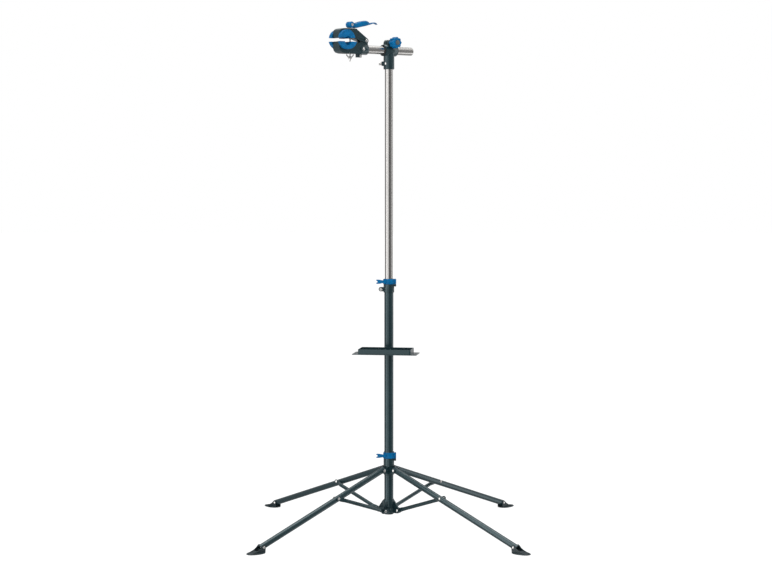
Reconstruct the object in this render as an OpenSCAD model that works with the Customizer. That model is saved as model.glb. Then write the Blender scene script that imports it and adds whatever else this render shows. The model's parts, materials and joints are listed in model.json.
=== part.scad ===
// Folding work stand that holds a bicycle by its frame.
// Four braced legs fold up along a round lower tube, a bright mast slides out of it,
// and a level arm at the top carries a cam-operated clamp.
// Millimetres, +Z up, origin on the pole's axis at floor level.

/* [Tubes] */
// Outside diameter of the lower tube
lower_tube_d = 34; // [32:1:36]
// Outside diameter of the sliding mast
mast_tube_d = 30; // [28:1:30]
// Outside diameter of the level arm
arm_tube_d = 30; // [28:1:32]
// Wall of the lower tube, the mast and the arm
tube_wall = 1.5; // [1:0.1:1.8]

/* [Heights] */
// Top end of the lower tube
lower_tube_top = 934; // [880:1:960]
// Bottom end of the mast when it is fully out
mast_foot = 844; // [800:1:860]
// Lower face of the head casting
head_foot = 1715; // [1650:1:1800]
// Height of the arm's axis above the head casting's lower face
arm_rise = 69; // [66:1:76]
// Height of the tray's floor
tray_z = 666.5; // [655:0.5:700]

/* [Legs] */
// Diameter of each leg tube
leg_d = 22; // [20:1:22]
// Diameter of each brace
brace_d = 14; // [12:1:14]
// Distance of the leg and brace pivots from the pole's axis
pivot_r = 36; // [36:1:42]
// Height of the leg pivots on the sliding hub
leg_pivot_z = 224; // [200:1:260]
// Height of the brace pivots on the base hub
brace_pivot_z = 72; // [70:1:80]
// Distance of the joint between leg and brace from the pole's axis
joint_r = 272; // [240:1:300]
// Distance of the foot pivots from the pole's axis
foot_pivot_r = 633; // [580:1:680]
// Height of the foot pivots
foot_pivot_z = 20; // [20:1:24]

/* [Arm and clamp] */
// Turn of the arm about the pole
arm_yaw = 40; // [0:5:90]
// Length of arm behind the pole
arm_back = 106; // [80:1:160]
// Distance of the clamped tube from the pole's axis
cradle_s = 219; // [219:1:219]
// Radius of the round grooves in the two jaw pads
cradle_r = 16; // [14:0.5:17]
// Half width of the jaw pads
pad_half = 35; // [26:1:36]

/* [Tray] */
// Width of the tray's pan
tray_w = 196; // [160:2:240]
// Depth of the tray's pan
tray_d = 100; // [80:2:120]
// Height of the tray's walls
tray_h = 19.5; // [15:0.5:30]
// Turn of the tray about the pole
tray_yaw = -8; // [-30:1:30]

/* [Hidden] */
$fn = 48;
eps = 0.01;
gap = 0.3;          // air between pieces that move past each other
run = 0.05;         // radial clearance of a pin in its bore
slip = 0.1;         // radial clearance of a sliding bush
arm_z = head_foot + arm_rise;

// bores and shafts
lower_r = lower_tube_d / 2;
mast_r = mast_tube_d / 2;
arm_r = arm_tube_d / 2;
rivet_r = 3;

// fold geometry, in the plane of one leg
joint_z = (leg_pivot_z + brace_pivot_z) / 2;
joint_run = joint_r - pivot_r;
link_len = norm([joint_run, joint_z - brace_pivot_z]);
brace_rise = atan((joint_z - brace_pivot_z) / joint_run);
leg_run = foot_pivot_r - pivot_r;
leg_drop = leg_pivot_z - foot_pivot_z;
leg_len = norm([leg_run, leg_drop]);
leg_tilt = atan(leg_drop / leg_run);

// the brace lies beside its leg, on the side that looks round the pole
flat_t = 4;
flat_y = leg_d / 2 + 1;
brace_y = flat_y + brace_d / 2;
eye_r = 8;
ear_t = 3.5;
ear_y = leg_d / 2 + 0.4;

// quick-release collars
collar_r = 18.8;
band_r = collar_r + gap;
band_t = 3.2;
lever_pin_r = 2.5;
lever_pin_at = [24 * cos(-20), 24 * sin(-20)];

// sliding hub
slider_z0 = 205;
slider_lever_z = 267;
slider_lever_h = 23;
slider_r = 20;

// mast collar
collar_z0 = 889;
collar_bolt_z = collar_z0 + 12;
mast_lever_z = 920;
mast_lever_h = 20;

// head and clamp, along the arm (s), across it (v) and above its axis (z)
head_r = 20;
head_sleeve_r = 21;
head_sleeve_half = 29;
arm_bore_r = arm_r + slip + 1.5;
knob_z = 27.5;
knob_screw_r = 4;
knob_v0 = 22;
knob_len = 29;
socket_s = 110;
arm_end_s = 148;
jaw_rivet_s = 135;
jaw_half = 19;
jaw_bolt_z = -24.5;
hinge_s = 119;
hinge_z = 31;
rod_s = 184;
rod_r = 3;
cradle_z = 26.5;
lower_saddle = [217.5, 36.5, 40.5];
upper_saddle = [221, 33, 34];
pad_top = 24;
pad_gap = 13;
nose_s = 248;
nose_wall = 4;
jaw_top_z = 72;
cam_z = 86.5;
cam_r = 11.7;

dark = [0.17, 0.20, 0.21];
bright = [0.72, 0.72, 0.72];
blue = [0.04, 0.37, 0.70];
grey = [0.42, 0.43, 0.44];

// ---------- shared shapes ----------

// a tube along Z
module tube(r_out, r_in, z0, z1) {
  translate([0, 0, z0]) difference() {
    cylinder(r = r_out, h = z1 - z0);
    translate([0, 0, -1]) cylinder(r = r_in, h = z1 - z0 + 2);
  }
}

// a round bar along Y, from y0 to y1
module bar_y(x, z, r, y0, y1) {
  translate([x, y0, z]) rotate([-90, 0, 0]) cylinder(r = r, h = y1 - y0);
}

// a plate across Y, cut to the outline given in X and Z
module plate_y(y0, y1) {
  translate([0, y1, 0]) rotate([90, 0, 0]) linear_extrude(height = y1 - y0) children();
}

// a low domed head standing on the plane z = 0
module dome(r, h) {
  ball = (r * r + h * h) / (2 * h);
  intersection() {
    translate([0, 0, h - ball]) sphere(r = ball);
    cylinder(r = r + 1, h = h + 1);
  }
}

// a rivet along Y with a domed head at both ends
module rivet_y(x, z, y0, y1, r = rivet_r, head_r = 5.5, head_h = 2.6) {
  bar_y(x, z, r, y0 - eps, y1 + eps);
  translate([x, y1, z]) rotate([-90, 0, 0]) dome(head_r, head_h);
  translate([x, y0, z]) rotate([90, 0, 0]) dome(head_r, head_h);
}

module on_leg(i) rotate([0, 0, 45 + 90 * (i - 1)]) children();
module on_arm() translate([0, 0, arm_z]) rotate([0, 0, 180 + arm_yaw]) children();
module on_tray() rotate([0, 0, tray_yaw]) children();

// ---------- base hub and lower tube ----------

module lower_tube() color(dark) tube(lower_r, lower_r - tube_wall, 60, lower_tube_top);

module base_plug() color(dark) {
  translate([0, 0, 56]) cylinder(r = lower_r - slip, h = 4);
  tube(lower_r - tube_wall - slip, 10, 60 - eps, 74);
}

base_top = 112;
base_foot = 58;

module base_inner_ear() {
  plate_y(flat_y - gap - 5.7, flat_y - gap) {
    translate([pivot_r, brace_pivot_z]) circle(r = 11);
    polygon([[16, base_foot + 2], [pivot_r - 2, brace_pivot_z - 10.8], [pivot_r + 10, brace_pivot_z + 5],
             [20, base_top - 4], [16, base_top - 4]]);
  }
}

module base_outer_ear() {
  y0 = flat_y + flat_t + gap;
  plate_y(y0, y0 + 4) {
    translate([pivot_r, brace_pivot_z]) circle(r = 10);
    polygon([[8, 62], [pivot_r - 2, 62.2], [pivot_r, 81], [8, 84]]);
  }
}

module base_hub() color(dark) difference() {
  union() {
    translate([0, 0, base_foot]) cylinder(r1 = 18.5, r2 = 21, h = 8);
    translate([0, 0, base_foot + 8]) cylinder(r = 21, h = base_top - base_foot - 11);
    translate([0, 0, base_top - 3]) cylinder(r1 = 21, r2 = 19.5, h = 3);
    for (i = [1:4]) on_leg(i) {
      base_inner_ear();
      base_outer_ear();
    }
  }
  translate([0, 0, base_foot - 1]) cylinder(r = lower_r, h = base_top);
  for (i = [1:4]) on_leg(i) bar_y(pivot_r, brace_pivot_z, rivet_r, 3, 24);
}

module base_rivets() color(bright) for (i = [1:4]) on_leg(i)
  rivet_y(pivot_r, brace_pivot_z, flat_y - gap - 5.7, flat_y + flat_t + gap + 4);

// ---------- legs, braces and feet ----------

module brace_end() {
  flat_len = 15;
  bar_y(0, 0, eye_r, flat_y, flat_y + flat_t);
  translate([0, flat_y, -eye_r + 0.5]) cube([flat_len, flat_t, 2 * eye_r - 1]);
  hull() {
    translate([flat_len - 1, flat_y + 0.2, -eye_r + 0.8]) cube([0.8, flat_t - 0.4, 2 * eye_r - 1.6]);
    translate([32, brace_y, 0]) rotate([0, 90, 0]) cylinder(r = brace_d / 2 - 0.15, h = 1, $fn = 32);
  }
}

module brace_bar() difference() {
  union() {
    brace_end();
    translate([link_len, 0, 0]) mirror([1, 0, 0]) brace_end();
    translate([31, brace_y, 0]) rotate([0, 90, 0]) cylinder(r = brace_d / 2, h = link_len - 62);
  }
  for (x = [0, link_len]) bar_y(x, 0, rivet_r + run, flat_y - 1, flat_y + flat_t + 1);
}

module brace(i) color(dark) on_leg(i)
  translate([pivot_r, 0, brace_pivot_z]) rotate([0, -brace_rise, 0]) brace_bar();

module leg(i) color(dark) on_leg(i) difference() {
  translate([pivot_r, 0, leg_pivot_z]) rotate([0, 90 + leg_tilt, 0])
    tube(leg_d / 2, leg_d / 2 - 1.3, -9, leg_len + 9);
  bar_y(pivot_r, leg_pivot_z, rivet_r + run, -leg_d, leg_d);
  bar_y(joint_r, joint_z, rivet_r, -leg_d, leg_d);
  bar_y(foot_pivot_r, foot_pivot_z, rivet_r + run, -leg_d, leg_d);
}

module leg_rivet(i) color(bright) on_leg(i) {
  rivet_y(joint_r, joint_z, -leg_d / 2 - 0.05, flat_y + flat_t + gap);
  bar_y(joint_r, joint_z, 5.2, leg_d / 2 + 0.05, flat_y - gap);
}

module foot(i) color(dark) on_leg(i) difference() {
  union() {
    linear_extrude(height = 4) {
      translate([651, 0]) circle(r = 28);
      translate([676, 0]) circle(r = 22);
      polygon([[657, -27.3], [680.5, -21.5], [680.5, 21.5], [657, 27.3]]);
    }
    for (side = [-1, 1]) plate_y(side * (ear_y + 1.5) - 1.5, side * (ear_y + 1.5) + 1.5) {
      translate([foot_pivot_r, foot_pivot_z]) circle(r = 8.5);
      polygon([[foot_pivot_r - 8.4, foot_pivot_z - 1], [627, 3], [690, 3], [foot_pivot_r + 4, foot_pivot_z + 7.5]]);
    }
  }
  bar_y(foot_pivot_r, foot_pivot_z, rivet_r, -leg_d, leg_d);
}

module foot_rivet(i) color(bright) on_leg(i)
  rivet_y(foot_pivot_r, foot_pivot_z, -ear_y - 3, ear_y + 3, head_r = 5, head_h = 2.2);

// ---------- quick-release lever and its pin ----------

// band round the front of a collar, a knuckle on the pin, and a forked tail
module qr_lever(h) difference() {
  union() {
    intersection() {
      tube(band_r + band_t, band_r, 0, h);
      linear_extrude(height = h) polygon([[0, 0], 60 * [cos(-20), sin(-20)], [60, -60], [-60, -60],
                                          60 * [cos(-168), sin(-168)]]);
    }
    linear_extrude(height = h) difference() {
      translate(lever_pin_at) circle(r = 5);
      circle(r = band_r);
    }
    translate([0, 0, h / 2 - 6]) linear_extrude(height = 12)
      polygon([[-13, -18.4], [-9.5, -22.4], [-30, -23.4], [-47, -21.6], [-47, -17.6], [-30, -18.8], [-20.5, -15]]);
    translate([-46, 0, h / 2]) intersection() {
      translate([-1, -21.6, -h / 2]) cube([12, 4, h]);
      plate_y(-30, 0) polygon([[-1, 7.9], [11, 6], [11, -6], [-1, -7.9]]);
    }
  }
  translate([-48, -30, h / 2]) plate_y(0, 20) polygon([[-1, 2.9], [6, 0], [-1, -2.9]]);
  translate([lever_pin_at[0], lever_pin_at[1], -1]) cylinder(r = lever_pin_r + run, h = h + 2);
}

module qr_pin(z, h) translate([lever_pin_at[0], lever_pin_at[1], z]) {
  translate([0, 0, -8]) cylinder(r = lever_pin_r, h = h + 8 + gap + eps);
  translate([0, 0, h + gap]) dome(4.4, 2);
}

// lug under the lever that carries the pin
module qr_lug(z) difference() {
  translate([0, 0, z - gap - 8]) linear_extrude(height = 8) {
    translate(lever_pin_at) circle(r = 5);
    polygon([[12, -2], [23, -3.4], [24, -13], [10, -14]]);
  }
  translate([lever_pin_at[0], lever_pin_at[1], z - 12]) cylinder(r = lever_pin_r, h = 14);
}

// ---------- sliding hub ----------

module slider_hub() color(dark) difference() {
  union() {
    translate([0, 0, slider_z0]) cylinder(r1 = 18.8, r2 = slider_r, h = 2);
    translate([0, 0, slider_z0 + 2]) cylinder(r = slider_r, h = slider_lever_z - gap - slider_z0 - 2);
    translate([0, 0, slider_z0 + 10]) cylinder(r = collar_r, h = slider_lever_z + slider_lever_h + 2.5 - slider_z0 - 10);
    qr_lug(slider_lever_z);
    for (i = [1:4]) on_leg(i) for (side = [-1, 1])
      plate_y(side * (ear_y + ear_t / 2) - ear_t / 2, side * (ear_y + ear_t / 2) + ear_t / 2) {
        translate([pivot_r, leg_pivot_z]) circle(r = 9.5);
        polygon([[10, slider_z0 + 4], [19, slider_z0 + 4], [pivot_r + 4, leg_pivot_z - 8.6],
                 [pivot_r + 2, leg_pivot_z + 9.2], [10, leg_pivot_z + 14]]);
      }
  }
  translate([0, 0, slider_z0 - 1]) cylinder(r = lower_r + slip + 1.2, h = 100);
  translate([-1.5, 0, slider_lever_z - 6]) cube([3, 30, 40]);
  for (i = [1:4]) on_leg(i) bar_y(pivot_r, leg_pivot_z, rivet_r, -20, 20);
}

module slider_liner() color(grey) tube(lower_r + slip + 1.2, lower_r + slip, slider_z0 + 1, slider_lever_z - 8);

module slider_rivets() color(bright) for (i = [1:4]) on_leg(i)
  rivet_y(pivot_r, leg_pivot_z, -ear_y - ear_t, ear_y + ear_t);

module slider_lever_pin() color(bright) qr_pin(slider_lever_z, slider_lever_h);
module slider_lever() color(blue) translate([0, 0, slider_lever_z]) qr_lever(slider_lever_h);

// ---------- mast collar ----------

module mast_collar() color(dark) difference() {
  union() {
    translate([0, 0, collar_z0]) cylinder(r = slider_r, h = mast_lever_z - gap - collar_z0);
    translate([0, 0, collar_z0 + 5]) cylinder(r = collar_r, h = mast_lever_z + mast_lever_h - 2 - collar_z0 - 5);
    qr_lug(mast_lever_z);
    translate([-30, 0, collar_bolt_z]) rotate([90, 0, 0]) cylinder(r = 8, h = 14, center = true);
    translate([-30, -7, collar_bolt_z - 8]) cube([14, 14, 16]);
  }
  translate([0, 0, collar_z0 - 1]) cylinder(r = lower_r, h = 80);
  translate([-45, -1.2, collar_z0 - 1]) cube([35, 2.4, 80]);
  bar_y(-30, collar_bolt_z, rivet_r, -12, 12);
}

module mast_collar_bolt() color(bright) {
  bar_y(-30, collar_bolt_z, rivet_r, -7 - eps, 13);
  bar_y(-30, collar_bolt_z, 5.6, -11, -7);
  translate([-30, 7, collar_bolt_z]) rotate([-90, 0, 0]) cylinder(r = 6, h = 4.5, $fn = 6);
}

module mast_lever_pin() color(bright) qr_pin(mast_lever_z, mast_lever_h);
module mast_lever() color(blue) translate([0, 0, mast_lever_z]) qr_lever(mast_lever_h);

module mast_liner() color(grey) {
  top = mast_lever_z + mast_lever_h - 0.5;
  tube(lower_r - slip, mast_r + slip, lower_tube_top + slip, top - 1);
  tube(18.2, mast_r + slip, mast_lever_z + mast_lever_h - 2 + eps, top);
}

// ---------- mast and head ----------

module mast_guide() color(grey) {
  tube(lower_r - tube_wall - slip, 9, mast_foot - 28, mast_foot - gap);
  tube(mast_r - tube_wall - slip, 9, mast_foot - gap - eps, mast_foot + 22);
}

mast_top = head_foot + 47;
head_bolt_z = head_foot + 21;
module mast_tube() color(bright) tube(mast_r, mast_r - tube_wall, mast_foot, mast_top);

module head_lug(v0, v1) {
  bar_y(0, knob_z, 12, v0, v1);
  translate([-12, v0, 10]) cube([24, v1 - v0, knob_z - 10]);
}

module head_casting() color(dark) difference() {
  union() {
    translate([0, 0, head_foot]) cylinder(r1 = head_r - 1.2, r2 = head_r, h = 2);
    translate([0, 0, head_foot + 2]) cylinder(r = head_r, h = arm_rise - 10);
    translate([-27, -7, head_bolt_z - 8]) cube([12, 14, 16]);
    on_arm() {
      translate([-head_sleeve_half, 0, 0]) rotate([0, 90, 0]) cylinder(r = head_sleeve_r, h = 2 * head_sleeve_half);
      head_lug(1.5, 12);
      head_lug(-17, -1.5);
    }
  }
  translate([0, 0, head_foot - 1]) cylinder(r = mast_r, h = mast_top - head_foot + 1);
  translate([-40, 0, head_bolt_z]) rotate([0, 90, 0]) cylinder(r = rivet_r, h = 40 - mast_r);
  translate([0, 0, head_bolt_z]) rotate([90, 0, -38]) cylinder(r = 2.5, h = 30);
  on_arm() {
    translate([-40, 0, 0]) rotate([0, 90, 0]) cylinder(r = arm_bore_r, h = 80);
    translate([-40, -1.5, 10]) cube([80, 3, 50]);
    bar_y(0, knob_z, knob_screw_r + run, -30, 30);
  }
}

module head_bolts() color(bright) {
  translate([-27 - eps, 0, head_bolt_z]) rotate([0, 90, 0]) cylinder(r = rivet_r, h = 27 - mast_r - 0.2);
  translate([-37, 0, head_bolt_z]) rotate([0, 90, 0]) cylinder(r = 5.6, h = 10);
  translate([0, 0, head_bolt_z]) rotate([90, 0, -38]) {
    translate([0, 0, mast_r + 0.2]) cylinder(r = 2.5, h = head_r + 0.4 - mast_r);
    translate([0, 0, head_r + 0.35]) dome(4.6, 2);
  }
}

module head_knob() color(blue) on_arm() difference() {
  union() {
    translate([0, knob_v0, knob_z]) rotate([-90, 0, 0]) linear_extrude(height = knob_len) {
      circle(r = 18);
      for (k = [0:7]) rotate(45 * k) translate([15.8, 0]) circle(r = 5.2);
    }
    bar_y(0, knob_z, 9, 12 + gap, knob_v0 + 1);
  }
  bar_y(0, knob_z, knob_screw_r, 0, knob_v0 + 12);
  bar_y(0, knob_z, 9, knob_v0 + knob_len - 2, knob_v0 + knob_len + 2);
}

module knob_cap() color(grey) on_arm() {
  v0 = knob_v0 + knob_len - 2;
  bar_y(0, knob_z, 9 - run, v0, v0 + 2.2);
  translate([0, v0 + 2.2 - eps, knob_z]) rotate([-90, 0, 0]) dome(8.6, 1.2);
}

module knob_screw() color(bright) on_arm() {
  bar_y(0, knob_z, knob_screw_r, -24, knob_v0 + 11.9);
}

// ---------- arm ----------

module arm_liner() color(dark) on_arm() rotate([0, 90, 0]) {
  tube(arm_bore_r - slip, arm_r + slip, -head_sleeve_half - 2, head_sleeve_half + 2);
  for (side = [-1, 1]) translate([0, 0, side * (head_sleeve_half + 1.2)]) tube(19, arm_r + slip, -0.9, 0.9);
}

module arm_tube() color(bright) on_arm() difference() {
  rotate([0, 90, 0]) tube(arm_r, arm_r - tube_wall, -arm_back, arm_end_s);
  bar_y(jaw_rivet_s, 0, rivet_r, -20, 20);
}

module arm_cap() color(bright) on_arm() translate([-arm_back, 0, 0]) rotate([0, -90, 0]) {
  intersection() {
    cylinder(r = arm_r, h = 8);
    translate([0, 0, -12]) sphere(r = 19.5);
  }
  translate([0, 0, -12]) cylinder(r = arm_r - tube_wall - run, h = 12 + eps);
}

// ---------- clamp ----------

module lower_jaw() color(dark) on_arm() difference() {
  union() {
    translate([socket_s, 0, 0]) rotate([0, 90, 0]) cylinder(r = 20, h = 42);
    plate_y(-jaw_half, jaw_half)
      polygon([[140, -14], [150, -18], [224, -18], [236, -15.5], [244, -9.5], [nose_s, 0], [nose_s, pad_top],
               [168, pad_top], [150, 20], [140, 14]]);
    bar_y(hinge_s, hinge_z, 9, -12, 12);
    translate([hinge_s - 9, -12, 10]) cube([18, 24, hinge_z - 10]);
    plate_y(-12, 12) polygon([[hinge_s + 8, hinge_z], [hinge_s + 8, 12], [160, 12], [160, 19]]);
    translate([136, -8, -30]) cube([16, 16, 14]);
  }
  rotate([0, 90, 0]) cylinder(r = arm_r, h = arm_end_s);
  bar_y(jaw_rivet_s, 0, rivet_r, -30, 30);
  bar_y(144, jaw_bolt_z, 2.5, -12, 12);
  bar_y(hinge_s, hinge_z, rivet_r, -20, 20);
  cut_seat(lower_saddle);
  translate([rod_s, 0, -40]) cylinder(r = rod_r + 0.5, h = 80);
  translate([196, -jaw_half + 4, -30]) cube([36, 2 * jaw_half - 8, 22]);
}

// the round seat of a pad in its jaw
module saddle(seat, less, half) bar_y(seat[0], seat[1], seat[2] - less, -half, half);

// the part of a seat that the jaw's nose wall stops
module cut_seat(seat) difference() {
  saddle(seat, 0, 40);
  translate([nose_s - nose_wall, -50, -40]) cube([60, 100, 140]);
}

// the room for the nose wall in a pad
module nose_room() translate([nose_s - nose_wall - run, -jaw_half - run, -40])
  cube([60, 2 * (jaw_half + run), 140]);

module jaw_groove() bar_y(cradle_s, cradle_z, cradle_r, -pad_half - 1, pad_half + 1);

module lower_pad() color(blue) on_arm() difference() {
  intersection() {
    saddle(lower_saddle, run, pad_half);
    translate([170, -pad_half, -10]) cube([95, 2 * pad_half, pad_top + 10]);
  }
  jaw_groove();
  nose_room();
  translate([rod_s - 6, -3.8, -20]) cube([10, 7.6, 60]);
}

module jaw_pin() color(bright) on_arm()
  rivet_y(hinge_s, hinge_z, -16.3 - gap, 16.3 + gap, head_r = 5.5, head_h = 2.4);

module jaw_rivet() color(bright) on_arm() rivet_y(jaw_rivet_s, 0, -20, 20, head_r = 5.6, head_h = 3);

module jaw_bolt() color(bright) on_arm() {
  bar_y(144, jaw_bolt_z, 2.5, -8 - eps, 12);
  bar_y(144, jaw_bolt_z, 4.8, -12, -8);
  translate([144, 8, jaw_bolt_z]) rotate([-90, 0, 0]) cylinder(r = 5.2, h = 3.5, $fn = 6);
}

module upper_jaw() color(dark) on_arm() difference() {
  union() {
    plate_y(-jaw_half, jaw_half)
      polygon([[166, jaw_top_z], [226, jaw_top_z], [237, 70], [244.5, 65], [nose_s, 57], [nose_s, pad_top + pad_gap],
               [186, pad_top + pad_gap], [172, 43], [160, 60]]);
    plate_y(-16.3, 16.3) {
      translate([hinge_s, hinge_z]) circle(r = 9);
      polygon([[hinge_s - 6, hinge_z + 6.7], [166, jaw_top_z], [190, 62], [188, 40], [hinge_s + 4.5, hinge_z - 7.8]]);
    }
  }
  cut_seat(upper_saddle);
  translate([hinge_s - 15, -12 - gap, 10]) cube([38, 24 + 2 * gap, 50]);
  translate([176, -3.8, 20]) cube([27, 7.6, 70]);
  bar_y(hinge_s, hinge_z, rivet_r + run, -30, 30);
}

module upper_pad() color(blue) on_arm() difference() {
  intersection() {
    saddle(upper_saddle, run, pad_half);
    translate([170, -pad_half, pad_top + pad_gap]) cube([95, 2 * pad_half, 40]);
  }
  jaw_groove();
  nose_room();
  translate([rod_s - 8, -3.8, 20]) cube([21, 7.6, 60]);
}

module thrust_plate() color(bright) on_arm() difference() {
  translate([167, -11, jaw_top_z]) cube([38, 22, 2]);
  translate([176, -3.8, jaw_top_z - 1]) cube([27, 7.6, 4]);
}

module clamp_rod() color(bright) on_arm()
  translate([rod_s, 0, -46]) cylinder(r = rod_r, h = 46 + cam_z - 5.2);

module barrel_pin() color(bright) on_arm() difference() {
  bar_y(rod_s, cam_z, 5.2, -14.5, 14.5);
  translate([rod_s, 0, cam_z - 12]) cylinder(r = rod_r, h = 6.81);
}

module cam_lever() color(blue) on_arm() difference() {
  union() {
    bar_y(rod_s, cam_z, cam_r, -12, 12);
    plate_y(-12, 12)
      polygon([[190, 96.7], [180, 97.4], [167, 92], [149, 98], [126, 103], [110, 104], [100, 97], [100, 88],
               [128, 80], [155, 75], [174, 75.5], [184, 80]]);
    plate_y(-10, 10) polygon([[104, 100], [96, 95.5], [86, 98.5], [75, 100], [66, 98], [60, 94], [61, 92.2], [68, 95],
                              [76, 96], [86, 93.5], [96, 89.5], [104, 89]]);
  }
  bar_y(rod_s, cam_z, 5.2 + run, -20, 20);
  translate([rod_s - 30, -3.6, 60]) cube([60, 7.2, cam_z - 60]);
  translate([rod_s - 3.6, -3.6, 70]) cube([30, 7.2, 40]);
}

module wing_nut() color(bright) on_arm() translate([rod_s, 0, 0]) difference() {
  union() {
    translate([0, 0, -37]) cylinder(r1 = 7, r2 = 5.5, h = 9);
    for (side = [0, 180]) rotate([0, 0, side]) plate_y(-1.2, 1.2)
      polygon([[4, -36], [8, -35], [15, -27], [18, -20.5], [13, -19.5], [9, -24], [4, -29]]);
  }
  translate([0, 0, -50]) cylinder(r = rod_r + run, h = 40);
}

// ---------- tray ----------

module tray_bush() color(grey) tube(19, lower_r + slip, tray_z - 10.5, tray_z + 14);

clamp_z0 = tray_z - 6.5;
clamp_bolt_z = clamp_z0 + 9;
tray_bolt_z = tray_z + 7;

module tray_clamp() color(dark) on_tray() difference() {
  union() {
    translate([0, 0, clamp_z0]) cylinder(r = 22.5, h = 18);
    translate([-16, -24, clamp_z0]) cube([32, 10, 18]);
    translate([-9, 15, clamp_z0]) cube([18, 23, 18]);
  }
  translate([0, 0, clamp_z0 - 5]) cylinder(r = 19 + slip, h = 40);
  translate([-1.5, 10, clamp_z0 - 5]) cube([3, 40, 40]);
  translate([-12, 30, clamp_bolt_z]) rotate([0, 90, 0]) cylinder(r = 3, h = 24);
  for (x = [-10, 10]) bar_y(x, tray_bolt_z, 2.5, -30, -19);
}

module tray_outline(grow, r) {
  w = tray_w + 2 * grow;
  d = tray_d + 2 * grow;
  translate([-w / 2 + r, -24 - tray_d - grow]) square([w - 2 * r, d]);
  translate([-w / 2, -24 - tray_d - grow + r]) square([w, d - 2 * r]);
  for (x = [-w / 2 + r, w / 2 - r], y = [-24 - tray_d - grow + r, -24 + grow - r]) translate([x, y]) circle(r = r);
}

tool_holes = [for (side = [-1, 1], y = [-52, -96]) [side * (tray_w / 2 + 11), y]];

module tray() color(dark) on_tray() difference() {
  union() {
    translate([0, 0, tray_z]) linear_extrude(height = tray_h) tray_outline(0, 6);
    translate([-tray_w / 2 - 22, -24 - tray_d - 6, tray_z]) linear_extrude(height = 2) {
      translate([8, 0]) square([tray_w + 28, tray_d + 6]);
      translate([0, 8]) square([tray_w + 44, tray_d - 10]);
      for (x = [8, tray_w + 36], y = [8, tray_d - 2]) translate([x, y]) circle(r = 8);
    }
  }
  translate([0, 0, tray_z + 2]) linear_extrude(height = 40) tray_outline(-2, 4);
  for (p = tool_holes) translate([p[0], p[1], tray_z - 1]) cylinder(r = 6.5, h = 4);
  for (x = [-10, 10]) bar_y(x, tray_bolt_z, 2.5, -30, -20);
}

module tray_bolts() color(bright) on_tray() {
  for (x = [-10, 10]) {
    bar_y(x, tray_bolt_z, 2.5 - run, -26 - eps, -20);
    translate([x, -26, tray_bolt_z]) rotate([90, 0, 0]) dome(4.8, 2.4);
  }
  translate([-14, 30, clamp_bolt_z]) rotate([0, 90, 0]) cylinder(r = 3 - run, h = 28);
  translate([-13.5, 30, clamp_bolt_z]) rotate([0, 90, 0]) cylinder(r = 5.5, h = 4.5);
  translate([9, 30, clamp_bolt_z]) rotate([0, 90, 0]) cylinder(r = 6, h = 5, $fn = 6);
}

// ---------- one line for each node ----------

lower_tube();
base_hub();
base_rivets();
base_plug();
mast_collar();
mast_collar_bolt();
mast_lever_pin();
mast_liner();
mast_lever();
brace(1);  // brace_1
brace(2);  // brace_2
brace(3);  // brace_3
brace(4);  // brace_4
leg(1);  // leg_1
leg(2);  // leg_2
leg(3);  // leg_3
leg(4);  // leg_4
leg_rivet(1);  // leg_rivet_1
leg_rivet(2);  // leg_rivet_2
leg_rivet(3);  // leg_rivet_3
leg_rivet(4);  // leg_rivet_4
foot(1);  // foot_1
foot(2);  // foot_2
foot(3);  // foot_3
foot(4);  // foot_4
foot_rivet(1);  // foot_rivet_1
foot_rivet(2);  // foot_rivet_2
foot_rivet(3);  // foot_rivet_3
foot_rivet(4);  // foot_rivet_4
slider_hub();
slider_rivets();
slider_lever_pin();
slider_liner();
slider_lever();
mast_guide();
mast_tube();
head_casting();
head_bolts();
head_knob();
knob_cap();
knob_screw();
arm_liner();
arm_tube();
arm_cap();
lower_jaw();
lower_pad();
jaw_pin();
jaw_bolt();
jaw_rivet();
upper_jaw();
upper_pad();
thrust_plate();
clamp_rod();
barrel_pin();
cam_lever();
wing_nut();
tray_bush();
tray_clamp();
tray();
tray_bolts();
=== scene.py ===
"""Looks for a folding bicycle repair stand: finishes, moulded levers and pads, and the studio."""

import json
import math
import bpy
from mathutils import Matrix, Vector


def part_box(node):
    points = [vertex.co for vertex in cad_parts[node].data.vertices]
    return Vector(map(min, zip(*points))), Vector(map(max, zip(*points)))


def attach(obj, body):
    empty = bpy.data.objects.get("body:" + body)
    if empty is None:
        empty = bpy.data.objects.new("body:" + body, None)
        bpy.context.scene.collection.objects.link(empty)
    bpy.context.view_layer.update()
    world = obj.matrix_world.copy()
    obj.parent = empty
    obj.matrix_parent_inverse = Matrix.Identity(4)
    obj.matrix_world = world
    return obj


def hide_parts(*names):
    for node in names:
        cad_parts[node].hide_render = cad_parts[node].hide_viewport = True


bl_info = {
    "name": "Bicycle repair stand",
    "version": (1, 0, 0),
    "blender": (4, 5, 0),
    "location": "3D View > Sidebar > Stand",
    "description": "Builds the moulded and plated pieces of a folding repair stand round its frame",
    "category": "Object",
}

import bmesh
import bpy
from bpy.props import FloatProperty, FloatVectorProperty, PointerProperty
from mathutils import Matrix, Vector

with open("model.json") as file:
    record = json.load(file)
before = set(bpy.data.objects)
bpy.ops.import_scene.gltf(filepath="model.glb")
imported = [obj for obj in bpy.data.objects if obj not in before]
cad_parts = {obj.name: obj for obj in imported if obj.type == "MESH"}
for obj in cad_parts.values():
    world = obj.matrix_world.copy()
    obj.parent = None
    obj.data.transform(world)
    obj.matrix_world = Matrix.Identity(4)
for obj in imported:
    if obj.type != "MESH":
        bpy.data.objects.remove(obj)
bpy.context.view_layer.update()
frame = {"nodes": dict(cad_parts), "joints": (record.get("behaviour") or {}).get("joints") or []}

MM = 0.001
UP = Vector((0, 0, 1))
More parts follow.
